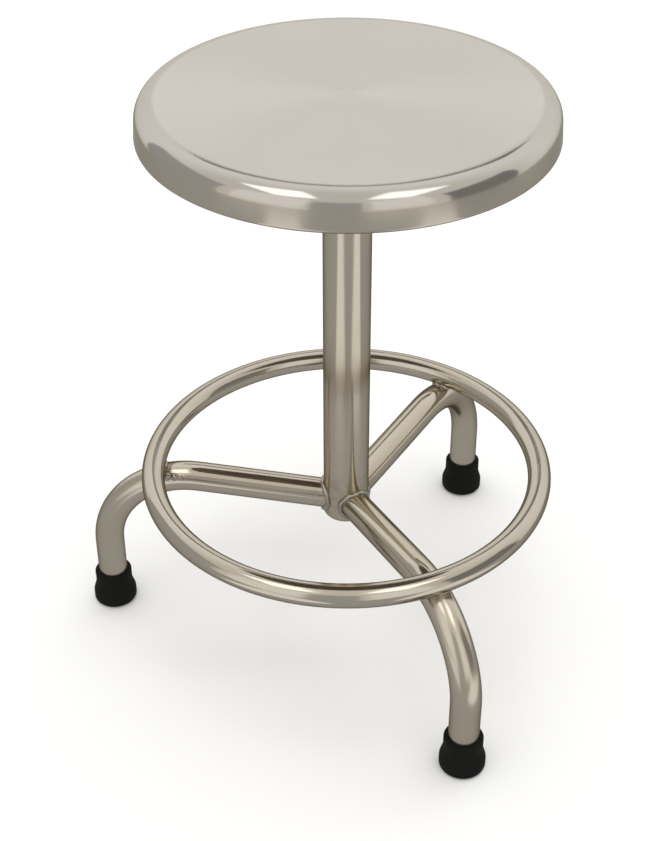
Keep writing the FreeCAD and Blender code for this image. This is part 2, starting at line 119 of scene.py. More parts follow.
class NodeGraph:
    """A node tree that is written from the script."""

    MIX_A = 6
    MIX_B = 7
    MIX_COLOUR = 2

    def __init__(self, tree: bpy.types.NodeTree) -> None:
        """Empties a tree and takes it over."""
        self.tree = tree
        self.tree.nodes.clear()

    def add(
        self,
        kind: str,
        settings: Mapping[str, object] | None = None,
        sockets: Mapping[str | int, Feed] | None = None,
    ) -> bpy.types.Node:
        """Adds a node.

        Args:
            kind: The node's type.
            settings: Its own properties, set before its sockets.
            sockets: Values or links for its inputs, by name or number.

        Returns:
            The new node.
        """
        node = self.tree.nodes.new(kind)
        for name, value in (settings or {}).items():
            setattr(node, name, value)
        for key, value in (sockets or {}).items():
            self.feed(node.inputs[key], value)
        return node

    def feed(self, socket: bpy.types.NodeSocket, value: Feed) -> None:
        """Links or sets an input.

        Args:
            socket: The input.
            value: A signal, an output socket, a number, a vector or a colour.
        """
        if isinstance(value, Signal):
            self.tree.links.new(value.socket, socket)
        elif isinstance(value, bpy.types.NodeSocket):
            self.tree.links.new(value, socket)
        elif isinstance(value, tuple) and socket.type == "RGBA":
            socket.default_value = (*value, 1.0)
        else:
            socket.default_value = value

    def signal(
        self,
        kind: str,
        settings: Mapping[str, object] | None = None,
        sockets: Mapping[str | int, Feed] | None = None,
    ) -> Signal:
        """Adds a node and wraps its first output, with the arguments of add."""
        return Signal(self, self.add(kind, settings, sockets).outputs[0])

    def vector(self, x: Feed, y: Feed, z: Feed) -> bpy.types.NodeSocket:
        """Three numbers as one vector."""
        return self.add("ShaderNodeCombineXYZ", sockets={0: x, 1: y, 2: z}).outputs[0]

    def noise(self, vector: Feed, scale: float, detail: float = 2.0) -> Signal:
        """A noise pattern.

        Args:
            vector: The coordinates it is read at.
            scale: Its cells in a unit of those coordinates.
            detail: How many finer layers it has.

        Returns:
            Its height, about 0.5 on average.
        """
        return self.signal("ShaderNodeTexNoise", sockets={"Vector": vector, "Scale": scale, "Detail": detail})

    def blend(self, share: Feed, first: Feed, second: Feed) -> bpy.types.NodeSocket:
        """Mixes two colours.

        Args:
            share: How much of the second colour shows.
            first: The colour at 0.
            second: The colour at 1.

        Returns:
            The mixed colour.
        """
        sockets = {0: share, self.MIX_A: first, self.MIX_B: second}
        return self.add("ShaderNodeMix", {"data_type": "RGBA"}, sockets).outputs[self.MIX_COLOUR]


class SurfacePlace:
    """Where a point of a surface lies, straight and round the column's axis."""

    def __init__(self, graph: NodeGraph) -> None:
        """Reads the Object coordinates in a graph."""
        coordinates = graph.add("ShaderNodeTexCoord").outputs
        self.vector = coordinates["Object"]
        facing = graph.add("ShaderNodeSeparateXYZ", sockets={0: coordinates["Normal"]}).outputs
        self.facing_up = Signal(graph, facing[2])
        parts = graph.add("ShaderNodeSeparateXYZ", sockets={0: self.vector}).outputs
        self.x, self.y, self.z = (Signal(graph, part) for part in parts)
        square = self.x * self.x + self.y * self.y
        self.radius = square.math("SQRT", square)
        self.angle = self.y.math("ARCTAN2", self.y, self.x)


class GrainRun(Enum):
    """Which way the lines of a polish run."""

    ACROSS_SHEET = "along X, over a flat sheet"
    UPRIGHT = "along an upright tube"
    ROUND_AXIS = "round the column's axis"
    ALONG_LEG = "outwards along a leg, then down its post"


@dataclass(frozen=True)
class Finish:
    """A finish of one of the record's material slots.

    Args:
        slot: The slot's name in the record.
        colour: The main colour.
        roughness: The mean roughness.
    """

    slot: str
    colour: Colour
    roughness: float

    def label(self) -> str:
        """The material's name."""
        return self.slot + "_look"

    def material(self) -> bpy.types.Material:
        """The finish as a material, made once."""
        known = bpy.data.materials.get(self.label())
        if known:
            return known
        made = bpy.data.materials.new(self.label())
        made.use_nodes = True
        graph = NodeGraph(made.node_tree)
        shader = graph.add("ShaderNodeBsdfPrincipled")
        graph.add("ShaderNodeOutputMaterial", sockets={"Surface": shader.outputs[0]})
        self.paint(graph, SurfacePlace(graph), shader)
        return made

    def paint(self, graph: NodeGraph, place: SurfacePlace, shader: bpy.types.Node) -> None:
        """Adds the finish's nodes.

        Args:
            graph: The material's nodes.
            place: The coordinates on the surface.
            shader: The surface shader to feed.
        """
        raise NotImplementedError

    def shade(self, factor: float) -> Colour:
        """The main colour made darker or lighter by a factor."""
        return tuple(channel * factor for channel in self.colour)

    def on_node(self, name: str) -> None:
        """Gives the finish to a CAD node that stays in view."""
        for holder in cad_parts[name].material_slots:
            holder.material = self.material()
        LOG.info("%s: CAD node in %s", name, self.slot)

    def on_piece(self, piece: bpy.types.Object) -> None:
        """Gives the finish to a new piece."""
        piece.data.materials.clear()
        piece.data.materials.append(self.material())


@dataclass(frozen=True)
class Steel(Finish):
    """Polished or brushed steel.

    Args:
        run: Which way the polishing lines run.
        grain_pitch: How far apart the lines are.
        grain_depth: How deep they are.
        grain_gloss: How much they change the roughness.
        smear: How much handling changes the roughness.
        edge_tint: The colour of the reflections seen edge on.
        stretch: How much the fine polish stretches the reflections.
        stretch_turn: Which way it does: 0 is round the axis, 0.25 is up or outwards.
    """

    run: GrainRun = GrainRun.ROUND_AXIS
    grain_pitch: float = 0.5 * MM
    grain_depth: float = 0.004 * MM
    grain_gloss: float = 0.04
    smear: float = 0.06
    edge_tint: Colour = (0.36, 0.33, 0.28)
    stretch: float = 0.0
    stretch_turn: float = 0.25

    LINE_LENGTH = 60.0
    LINES_ROUND = 2.0
    LEG_MIDDLE = 0.1
    BEND_HEIGHT = (0.085, 0.118)
    UNEVEN = 0.05

    def label(self) -> str:
        """The material's name, with the way its polish runs."""
        return f"{self.slot}_{self.run.name.lower()}"

    def lines(self, graph: NodeGraph, place: SurfacePlace) -> Signal:
        """The polishing lines' height, from 0 to 1."""
        fine = 1.0 / self.grain_pitch
        slow = fine / self.LINE_LENGTH
        if self.run is GrainRun.ACROSS_SHEET:
            return graph.noise(graph.vector(place.x * slow, place.y * fine, place.z * fine), 1.0)
        upright = graph.vector(place.x * fine, place.y * fine, place.z * slow)
        if self.run is GrainRun.UPRIGHT:
            return graph.noise(upright, 1.0)
        if self.run is GrainRun.ROUND_AXIS:
            around = place.angle * self.LINES_ROUND
            return graph.noise(graph.vector(around, place.radius * fine, place.z * fine), 1.0)
        outwards = graph.vector(place.radius * slow, place.angle * (fine * self.LEG_MIDDLE), place.z * fine)
        spoke = graph.noise(outwards, 1.0)
        post = graph.noise(upright, 1.0)
        level = place.z.rise(*self.BEND_HEIGHT)
        return spoke * level + post * (1 - level)

    def gloss(self, graph: NodeGraph, place: SurfacePlace) -> Feed:
        """The roughness before grain and handling."""
        return self.roughness

    def tone(self, graph: NodeGraph, place: SurfacePlace) -> Feed:
        """The colour, a little uneven from place to place."""
        patches = graph.noise(place.vector, 9.0, 3.0)
        return graph.blend(patches, self.shade(1 - self.UNEVEN), self.shade(1 + self.UNEVEN))

    def metal(self, graph: NodeGraph, place: SurfacePlace) -> Feed:
        """How much of the light the steel mirrors, and doesn't scatter."""
        return 1.0

    def paint(self, graph: NodeGraph, place: SurfacePlace, shader: bpy.types.Node) -> None:
        """Adds the steel's nodes, with the arguments of Finish.paint."""
        lines = self.lines(graph, place)
        handled = graph.noise(place.vector, 28.0, 4.0).rise(0.35, 0.75)
        uneven = (lines - 0.5) * self.grain_gloss + (handled - 0.4) * self.smear
        graph.feed(shader.inputs["Roughness"], uneven + self.gloss(graph, place))
        graph.feed(shader.inputs["Base Color"], self.tone(graph, place))
        graph.feed(shader.inputs["Metallic"], self.metal(graph, place))
        graph.feed(shader.inputs["Specular Tint"], self.edge_tint)
        graph.feed(shader.inputs["Anisotropic"], self.stretch)
        graph.feed(shader.inputs["Anisotropic Rotation"], self.stretch_turn)
        bump = graph.add("ShaderNodeBump", sockets={"Distance": self.grain_depth, "Height": lines})
        graph.feed(shader.inputs["Normal"], bump.outputs[0])


@dataclass(frozen=True)
class SeatSteel(Steel):
    """The seat's sheet: satin on top, polished round the edge and the rim.

    Args:
        satin_radius: How far out the satin top goes.
        satin_metal: How much of the light the satin mirrors, and doesn't scatter.
        edge_roughness: The roughness of the polished edge.
        edge_colour: The colour of the polished edge.
        rim_roughness: The roughness of the rim below it.
        rim_reflection_colour: The colour of the rim: warmer than the edge, a painted warm reflection of the
            floor.
        dull_shaded_under_colour: The colour of the underside: dull steel, darkened further as painted shade
            under the seat.
    """

    satin_radius: float = 0.1375
    satin_metal: float = 0.30
    edge_roughness: float = 0.13
    edge_colour: Colour = (0.57, 0.54, 0.49)
    rim_roughness: float = 0.21
    # Painted reflection: the rim's warmer colour stands in for the warm floor that it mirrors.
    rim_reflection_colour: Colour = (0.58, 0.53, 0.44)
    # Dull steel underneath, darkened further as painted shade under the seat.
    dull_shaded_under_colour: Colour = (0.17, 0.13, 0.105)

    SATIN_BLEND = 4.0 * MM
    RIM_BLEND = (0.480, 0.488)
    UNDER_BLEND = (-0.7, -0.3)

    def polished(self, place: SurfacePlace) -> Signal:
        """0 on the satin top, 1 outside it."""
        return place.radius.rise(self.satin_radius, self.satin_radius + self.SATIN_BLEND)

    def down(self, place: SurfacePlace) -> Signal:
        """0 on top, 1 down the rim."""
        return 1 - place.z.rise(*self.RIM_BLEND)

    def gloss(self, graph: NodeGraph, place: SurfacePlace) -> Feed:
        """Satin inside the edge, polished on it, a little duller down the rim."""
        edge = self.roughness + self.polished(place) * (self.edge_roughness - self.roughness)
        return edge + self.down(place) * (self.rim_roughness - self.edge_roughness)

    def metal(self, graph: NodeGraph, place: SurfacePlace) -> Feed:
        """Scattering on the satin top, mirroring outside it."""
        return self.satin_metal + self.polished(place) * (1 - self.satin_metal)

    def tone(self, graph: NodeGraph, place: SurfacePlace) -> Feed:
        """The satin's colour, the edge's outside it, a warmer one down the rim as painted reflection of the
        floor, and underneath dull steel darkened as painted shade.
        """
        edge = graph.blend(self.polished(place), super().tone(graph, place), self.edge_colour)
        # Down the rim the colour turns warmer: painted reflection of the floor.
        outside = graph.blend(self.down(place), edge, self.rim_reflection_colour)
        # Painted shade: surfaces that face down take a dark colour, dull steel darkened as if in the seat's
        # shadow.
        under = 1 - place.facing_up.rise(*self.UNDER_BLEND)
        return graph.blend(under, outside, self.dull_shaded_under_colour)


@dataclass(frozen=True)
class TubeSteel(Steel):
    """Polished tube, duller where it was bent, a little straw-coloured by heat beside the column's welds.

    Args:
        heat_colour: The colour of the heated steel.
        heat_reach: How far from the column's axis the tint goes.
        bent_roughness: How much rougher a leg is from its bend on.
    """

    heat_colour: Colour = (0.40, 0.33, 0.22)
    heat_reach: float = 0.040
    bent_roughness: float = 0.0

    BEND_REACH = (0.125, 0.170)
    WELD_REACH = 0.021
    HEAT_HEIGHT = (0.145, 0.165)
    HEAT_SHARE = 0.5

    def gloss(self, graph: NodeGraph, place: SurfacePlace) -> Feed:
        """Polished near the column, duller from the bend on."""
        return self.roughness + place.radius.rise(*self.BEND_REACH) * self.bent_roughness

    def tone(self, graph: NodeGraph, place: SurfacePlace) -> Feed:
        """The tube's colour, warmer by the welds."""
        plain = super().tone(graph, place)
        near = 1 - place.radius.rise(self.WELD_REACH, self.heat_reach)
        low = 1 - place.z.rise(*self.HEAT_HEIGHT)
        patchy = graph.noise(place.vector, 140.0).rise(0.3, 0.8)
        return graph.blend(near * low * patchy * self.HEAT_SHARE, plain, self.heat_colour)


@dataclass(frozen=True)
class WeldSteel(Finish):
    """Weld metal that has been brushed clean.

    Args:
        oxide: The colour left in its hollows.
    """

    oxide: Colour = (0.25, 0.20, 0.15)

    def paint(self, graph: NodeGraph, place: SurfacePlace, shader: bpy.types.Node) -> None:
        """Adds the weld's nodes, with the arguments of Finish.paint."""
        grit = graph.noise(place.vector, 1800.0, 3.0)
        stain = graph.noise(place.vector, 260.0, 3.0).rise(0.45, 0.8)
        graph.feed(shader.inputs["Base Color"], graph.blend(stain * 0.55, self.colour, self.oxide))
        graph.feed(shader.inputs["Roughness"], self.roughness + stain * 0.15 + (grit - 0.5) * 0.1)
        graph.feed(shader.inputs["Metallic"], 1.0)
        bump = graph.add("ShaderNodeBump", sockets={"Distance": 0.03 * MM, "Height": grit})
        graph.feed(shader.inputs["Normal"], bump.outputs[0])


@dataclass(frozen=True)
class ZincPlate(Finish):
    """Zinc-plated fastener steel, mottled and dulled."""

    def paint(self, graph: NodeGraph, place: SurfacePlace, shader: bpy.types.Node) -> None:
        """Adds the plating's nodes, with the arguments of Finish.paint."""
        crystals = graph.signal("ShaderNodeTexVoronoi", sockets={"Vector": place.vector, "Scale": 900.0})
        dull = graph.noise(place.vector, 180.0, 4.0).rise(0.4, 0.7)
        graph.feed(shader.inputs["Base Color"], graph.blend(dull, self.colour, self.shade(0.72)))
        graph.feed(shader.inputs["Roughness"], self.roughness + dull * 0.16 + crystals * 0.06)
        graph.feed(shader.inputs["Metallic"], 1.0)
        bump = graph.add("ShaderNodeBump", sockets={"Distance": 0.01 * MM, "Height": crystals})
        graph.feed(shader.inputs["Normal"], bump.outputs[0])


@dataclass(frozen=True)
class Nylon(Finish):
    """Turned nylon with a trace of grease."""

    def paint(self, graph: NodeGraph, place: SurfacePlace, shader: bpy.types.Node) -> None:
        """Adds the nylon's nodes, with the arguments of Finish.paint."""
        turned = graph.noise(graph.vector(place.angle, place.radius * 2500.0, place.z * 2500.0), 1.0)
        grease = graph.noise(place.vector, 120.0, 3.0).rise(0.5, 0.8)
        graph.feed(shader.inputs["Base Color"], graph.blend(grease * 0.5, self.colour, self.shade(0.6)))
        graph.feed(shader.inputs["Roughness"], self.roughness - grease * 0.15)
        bump = graph.add("ShaderNodeBump", sockets={"Distance": 0.01 * MM, "Height": turned})
        graph.feed(shader.inputs["Normal"], bump.outputs[0])


@dataclass(frozen=True)
class Rubber(Finish):
    """Moulded black rubber, scuffed and dusty near the floor.

    Args:
        dust: The colour of the dust.
        dust_height: How far up from the floor it goes.
        sheen: How much the skin reflects.
    """

    dust: Colour = (0.04, 0.038, 0.034)
    dust_height: float = 0.009
    sheen: float = 0.12

    def paint(self, graph: NodeGraph, place: SurfacePlace, shader: bpy.types.Node) -> None:
        """Adds the rubber's nodes, with the arguments of Finish.paint."""
        skin = graph.noise(place.vector, 2600.0, 3.0)
        scuffs = graph.noise(place.vector, 420.0, 4.0).rise(0.5, 0.75)
        low = 1 - place.z.rise(0.0, self.dust_height)
        bloom = graph.noise(place.vector, 90.0, 3.0)
        grey = graph.blend(bloom * 0.5, self.colour, self.shade(1.6))
        graph.feed(shader.inputs["Base Color"], graph.blend(low * scuffs * 0.45, grey, self.dust))
        graph.feed(shader.inputs["Roughness"], self.roughness + (bloom - 0.5) * 0.2 + low * scuffs * 0.15)
        graph.feed(shader.inputs["Specular IOR Level"], self.sheen)
        bump = graph.add("ShaderNodeBump", sockets={"Distance": 0.04 * MM, "Height": skin})
        graph.feed(shader.inputs["Normal"], bump.outputs[0])


class Finishes(Enum):
    """The stool's finishes. The column, the ring and the legs share one of the record's slots."""

    SEAT = SeatSteel(
        "seat_steel", (0.48, 0.46, 0.425), 0.34, GrainRun.ACROSS_SHEET, grain_depth=0.0012 * MM,
        grain_gloss=0.02, smear=0.04, edge_tint=(0.75, 0.73, 0.68), stretch=0.8,
    )
    # The tubes' warm tone is partly the steel's own and partly a painted warm reflection of the room.
    COLUMN = TubeSteel(
        "tube_steel", (0.60, 0.54, 0.44), 0.18, GrainRun.UPRIGHT, grain_depth=0.002 * MM, stretch=0.75,
    )
    RING = TubeSteel(
        "tube_steel", (0.58, 0.53, 0.44), 0.12, GrainRun.ROUND_AXIS, grain_depth=0.002 * MM,
        stretch=0.6, stretch_turn=0.0,
    )
    LEG = TubeSteel(
        "tube_steel", (0.60, 0.54, 0.44), 0.13, GrainRun.ALONG_LEG,
        grain_depth=0.0015 * MM, bent_roughness=0.10,
    )
    WELD = WeldSteel("weld_steel", (0.42, 0.385, 0.32), 0.22)
    # Dull steel under the seat, darkened further as painted shade under the seat.
    PLAIN = Steel("plain_steel", (0.25, 0.21, 0.18), 0.40, GrainRun.ROUND_AXIS, smear=0.12)
    SCREW = Steel("screw_steel", (0.46, 0.45, 0.43), 0.27, GrainRun.ROUND_AXIS, smear=0.14)
    ZINC = ZincPlate("zinc_steel", (0.62, 0.63, 0.64), 0.30)
    BRASS = Steel("nut_brass", (0.66, 0.50, 0.24), 0.24, GrainRun.ROUND_AXIS, edge_tint=(0.9, 0.8, 0.6))
    NYLON = Nylon("nylon", (0.72, 0.70, 0.63), 0.48)
    RUBBER = Rubber("foot_rubber", (0.006, 0.006, 0.0055), 0.75)


class Primitive(Enum):
    """The shapes that work starts from, by the operator that adds them."""

    PLANE = "primitive_plane_add"
    CIRCLE = "primitive_circle_add"
    BALL = "primitive_uv_sphere_add"


@dataclass(frozen=True)
class Corner:
    """A corner of a turned piece's profile.

    Args:
        out: Its distance from the axis.
        up: Its height.
        bend: The radius that rounds it.
    """

    out: float
    up: float
    bend: float = 0.0

    def point(self) -> Vector:
        """The corner in the upright plane through +X."""
        return Vector((self.out, 0.0, self.up))


class Bench:
    """A mesh under work in edit mode. Each method is a step done by hand."""

    BEND_SEGMENTS = 10

    def __init__(self, name: str, primitive: Primitive, **sizes: object) -> None:
        """Adds a primitive and opens it.

        Args:
            name: The piece's name.
            primitive: The shape to start from.
            sizes: Its operator's sizes and place.
        """
        bpy.ops.object.select_all(action="DESELECT")
        getattr(bpy.ops.mesh, primitive.value)(**sizes)
        self.piece = bpy.context.object
        self.piece.name = name
        self.piece.data.name = name
        bpy.ops.object.mode_set(mode="EDIT")
        bpy.ops.mesh.select_mode(type="VERT")

    def choose(self, wanted: Callable[[Vector], bool]) -> None:
        """Selects the vertices at the places that a test accepts, and the edges and faces between them."""
        bpy.ops.mesh.select_all(action="DESELECT")
        mesh = bmesh.from_edit_mesh(self.piece.data)
        for vertex in mesh.verts:
            vertex.select = wanted(vertex.co)
        mesh.select_flush_mode()
        bmesh.update_edit_mesh(self.piece.data)

    def draw(self, corners: Sequence[Corner]) -> None:
        """Turns the primitive into a profile.

        Args:
            corners: The profile's corners, from its start to its end.
        """
        bpy.ops.mesh.select_all(action="SELECT")
        bpy.ops.mesh.merge(type="CENTER")
        bpy.ops.mesh.select_all(action="SELECT")
        points = [corner.point() for corner in corners]
        bpy.ops.transform.translate(value=points[0])
        for before, after in zip(points, points[1:]):
            bpy.ops.mesh.extrude_region_move(TRANSFORM_OT_translate={"value": after - before})
        for i in range(1, len(corners) - 1):
            if corners[i].bend:
                half = (points[i - 1] - points[i]).angle(points[i + 1] - points[i]) / 2
                self.choose(lambda place, at=points[i]: (place - at).length < TOUCH)
                reach = corners[i].bend / math.tan(half)
                bpy.ops.mesh.bevel(offset=reach, segments=self.BEND_SEGMENTS, affect="VERTICES")

    def turn(self, steps: int) -> None:
        """Spins the profile once round the column's axis."""
        bpy.ops.mesh.select_all(action="SELECT")
        bpy.ops.mesh.spin(steps=steps, angle=math.tau, center=(0, 0, 0), axis=(0, 0, 1))
        self.close_seams()

    def close_seams(self) -> None:
        """Merges what lies together and turns every face outwards."""
        bpy.ops.mesh.select_all(action="SELECT")
        bpy.ops.mesh.remove_doubles(threshold=TOUCH)
        bpy.ops.mesh.normals_make_consistent(inside=False)

    def cut_off(self, height: float, above: bool) -> None:
        """Cuts the piece level and fills the cut.

        Args:
            height: Where it is cut.
            above: Whether what lies above goes, and not what lies below.
        """
        bpy.ops.mesh.select_all(action="SELECT")
        bpy.ops.mesh.bisect(
            plane_co=(0, 0, height), plane_no=(0, 0, 1), use_fill=True,
            clear_outer=above, clear_inner=not above,
        )

    def modify(self, kind: str, **settings: object) -> None:
        """Adds a modifier and applies it.

        Args:
            kind: The modifier's type.
            settings: Its properties.
        """
        bpy.ops.object.mode_set(mode="OBJECT")
        modifier = self.piece.modifiers.new(kind.lower(), kind)
        for name, value in settings.items():
            setattr(modifier, name, value)
        bpy.ops.object.modifier_apply(modifier=modifier.name)
        bpy.ops.object.mode_set(mode="EDIT")

    def done(self, smooth_below: float) -> bpy.types.Object:
        """Closes the piece.

        Args:
            smooth_below: The angle in degrees below which an edge is shaded smooth.

        Returns:
            The finished piece, at the origin.
        """
        bpy.ops.object.mode_set(mode="OBJECT")
        bpy.ops.object.transform_apply(location=True, rotation=True, scale=True)
        bpy.ops.object.shade_smooth_by_angle(angle=math.radians(smooth_below))
        return self.piece


def copied(piece: bpy.types.Object, place: Matrix, name: str) -> bpy.types.Object:
    """Copies a piece with a mesh of its own.

    Args:
        piece: The piece to copy.
        place: Where its mesh goes.
        name: The copy's name.

    Returns:
        The copy, at the origin.
    """
    twin = bpy.data.objects.new(name, piece.data.copy())
    twin.data.name = name
    twin.data.transform(place)
    bpy.context.scene.collection.objects.link(twin)
    return twin


def joined(pieces: Sequence[bpy.types.Object], name: str) -> bpy.types.Object:
    """Joins pieces into one.

    Args:
        pieces: The pieces, of which the first takes the others in.
        name: The joined piece's name.

    Returns:
        The joined piece.
    """
    bpy.ops.object.select_all(action="DESELECT")
    for piece in pieces:
        piece.select_set(True)
    bpy.context.view_layer.objects.active = pieces[0]
    bpy.ops.object.join()
    pieces[0].name = name
    pieces[0].data.name = name
    return pieces[0]


def fit(piece: bpy.types.Object, body: str, finish: Finishes, *nodes: str) -> None:
    """Puts a finished piece on the stool.

    Args:
        piece: The piece.
        body: The CAD body it moves with.
        finish: Its finish.
        nodes: The CAD nodes it stands for.
    """
    finish.value.on_piece(piece)
    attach(piece, body)
    if nodes:
        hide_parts(*nodes)
    LOG.info("%s: %d faces, rides on %s", piece.name, len(piece.data.polygons), body)


def round_column(azimuth: float) -> Matrix:
    """A turn about the column's axis, in degrees."""
    return Matrix.Rotation(math.radians(azimuth), 4, "Z")


@dataclass
class Drop:
    """A drop of weld metal.

    Args:
        place: Its middle.
        size: Its radius.
    """

    place: Vector
    size: float


class WeldBead:
    """Drops of metal laid one on another and melted into one bead."""

    DROP_SEGMENTS = 20
    DROP_RINGS = 12
    DROP_SQUASH = 0.92
    VOXEL = 0.45 * MM
    MELT_PASSES = 6

    def lay(self, drops: Sequence[Drop], name: str) -> bpy.types.Object:
        """Makes a bead.

        Args:
            drops: The drops, in the order they are laid.
            name: The bead's name.

        Returns:
            The bead, at the origin.
        """
        ball = Bench(
            "weld_drop", Primitive.BALL, segments=self.DROP_SEGMENTS, ring_count=self.DROP_RINGS, radius=1.0,
        )
        bpy.ops.mesh.select_all(action="SELECT")
        bpy.ops.transform.resize(value=(1.0, 1.0, self.DROP_SQUASH))
        drop = ball.done(smooth_below=60.0)
        copies = []
        for i, laid in enumerate(drops):
            place = Matrix.Translation(laid.place) @ Matrix.Scale(laid.size, 4)
            copies.append(copied(drop, place, f"weld_drop_{i}"))
        bpy.data.objects.remove(drop)
        bead = joined(copies, name)
        melt = bead.modifiers.new("melt", "REMESH")
        melt.mode = "VOXEL"
        melt.voxel_size = self.VOXEL
        ease = bead.modifiers.new("ease", "SMOOTH")
        ease.iterations = self.MELT_PASSES
        for modifier in (melt, ease):
            bpy.ops.object.modifier_apply(modifier=modifier.name)
        bpy.ops.object.shade_smooth()
        return bead


@dataclass
class Seat:
    """The seat: its pan, and what holds it on the screw."""

    top: float = 0.494
    radius: float = 0.155
    sheet: float = 1.2 * MM
    rim_depth: float = 0.029
    rim_draft: float = 2.0 * MM
    edge_radius: float = 13.5 * MM
    hem_width: float = 8.0 * MM
    hem_upstand: float = 6.0 * MM
    hem_radius: float = 3.0 * MM
    crown: float = 0.7 * MM
    crown_rings: int = 6
    steps: int = 192
    spot_count: int = 8
    spot_circle: float = 0.089
    spot_radius: float = 3.2 * MM
    spot_depth: float = 0.5 * MM
    spot_sides: int = 24
    spot_lip: float = 0.2
    spot_slope: float = 0.15
    spot_hollow: float = 0.8
    dish_flange_under: float = 0.4908

    def build(self) -> None:
        """Makes the pan and the spot welds."""
        self.build_pan()
        self.build_spots()

    def build_pan(self) -> None:
        """Makes the pressed pan from its profile, with a wall of the sheet's thickness."""
        bottom = self.top - self.rim_depth
        brow = self.radius - self.rim_draft
        hem = self.radius - self.hem_width
        shares = [ring / self.crown_rings for ring in range(self.crown_rings)]
        dome = [Corner(brow * share, self.top - self.crown * share ** 2) for share in shares]
        skirt = [
            Corner(brow, self.top - self.crown, self.edge_radius),
            Corner(self.radius, bottom, self.hem_radius),
            Corner(hem, bottom, self.hem_radius),
            Corner(hem, bottom + self.hem_upstand),
        ]
        bench = Bench("seat_shell", Primitive.PLANE, size=MM)
        bench.draw(dome + skirt)
        bench.turn(self.steps)
        bench.modify("SOLIDIFY", thickness=self.sheet, offset=-1.0, use_even_offset=True)
        fit(bench.done(smooth_below=35.0), "seat", Finishes.SEAT, "seat_pan")

    def build_spots(self) -> None:
        """Makes the spot welds that hold the dish to the pan, as dimples under the dish's flange."""
        bench = Bench(
            "spot_weld", Primitive.CIRCLE, vertices=self.spot_sides, radius=self.spot_radius,
            fill_type="NGON", location=(self.spot_circle, 0, self.dish_flange_under),
        )
        bpy.ops.mesh.select_all(action="SELECT")
        bpy.ops.mesh.extrude_region_move(TRANSFORM_OT_translate={"value": (0, 0, -self.spot_depth)})
        bpy.ops.mesh.inset(thickness=self.spot_radius * self.spot_lip)
        bpy.ops.mesh.inset(thickness=self.spot_radius * self.spot_slope)
        bpy.ops.transform.translate(value=(0, 0, self.spot_depth * self.spot_hollow))
        bench.close_seams()
        spot = bench.done(smooth_below=50.0)
        turns = [360.0 / self.spot_count * i for i in range(self.spot_count)]
        spots = [copied(spot, round_column(turn), f"spot_weld_{i}") for i, turn in enumerate(turns)]
        bpy.data.objects.remove(spot)
        # The spot welds take the dull steel that is darkened as painted shade under the seat.
        fit(joined(spots, "spot_welds"), "seat", Finishes.PLAIN)

    def dress(self) -> None:
        """Gives the CAD nodes under the pan their finishes."""
        # The dish and the flange take dull steel darkened as painted shade under the seat.
        for name in ("mounting_dish", "spindle_flange"):
            Finishes.PLAIN.value.on_node(name)
        for name in ("weld_nuts", "flange_bolts", "flange_lock_washers"):
            Finishes.ZINC.value.on_node(name)
        Finishes.WELD.value.on_node("spindle_weld")


@dataclass
class Lift:
    """The lift: the screw under the seat, its stop, its washer and its nut."""

    top: float = 0.4758
    bottom: float = 0.2688
    crest_radius: float = 13.0 * MM
    root_radius: float = 10.4 * MM
    pitch: float = 5.0 * MM
    crest_share: float = 0.34
    flank_share: float = 0.15
    steps: int = 48
    spigot_radius: float = 10.0 * MM
    spigot_top: float = 0.4823
    spigot_rounding: float = 0.8 * MM
    relief: float = 4.0 * MM

    def build(self) -> None:
        """Makes the screw with its thread, neck and spigot."""
        thread = self.thread()
        bench = Bench("screw_neck", Primitive.PLANE, size=MM)
        neck = self.root_radius
        bench.draw([
            Corner(0.0, self.top - self.relief),
            Corner(neck, self.top - self.relief),
            Corner(neck, self.top),
            Corner(self.spigot_radius, self.top),
            Corner(self.spigot_radius, self.spigot_top, self.spigot_rounding),
            Corner(0.0, self.spigot_top),
        ])
        bench.turn(self.steps)
        screw = joined([thread, bench.done(smooth_below=35.0)], "lift_screw")
        fit(screw, "seat", Finishes.SCREW, "spindle")

    def thread(self) -> bpy.types.Object:
        """Makes the threaded length.

        Returns:
            The thread, closed at both ends.
        """
        flank = self.pitch * self.flank_share
        crest = self.pitch * self.crest_share
        start = self.bottom - self.pitch
        groove = start + self.pitch - 2 * flank - crest
        bench = Bench("screw_thread", Primitive.PLANE, size=MM)
        bench.draw([
            Corner(self.root_radius, start),
            Corner(self.root_radius, groove),
            Corner(self.crest_radius, groove + flank),
            Corner(self.crest_radius, groove + flank + crest),
            Corner(self.root_radius, start + self.pitch),
        ])
        turns = math.ceil((self.top - self.bottom) / self.pitch) + 2
        bench.modify(
            "SCREW", axis="Z", angle=math.tau, screw_offset=self.pitch, iterations=turns, steps=self.steps,
            render_steps=self.steps, use_merge_vertices=True, merge_threshold=TOUCH,
        )
        bench.close_seams()
        bench.cut_off(self.bottom, above=False)
        bench.cut_off(self.top - self.relief, above=True)
        bench.close_seams()
        return bench.done(smooth_below=25.0)

    def dress(self) -> None:
        """Gives the other parts of the lift their finishes."""
        for name in ("stop_washer", "stop_lock_washer", "stop_bolt"):
            Finishes.ZINC.value.on_node(name)
        Finishes.NYLON.value.on_node("thrust_washer")
        Finishes.BRASS.value.on_node("spindle_nut")


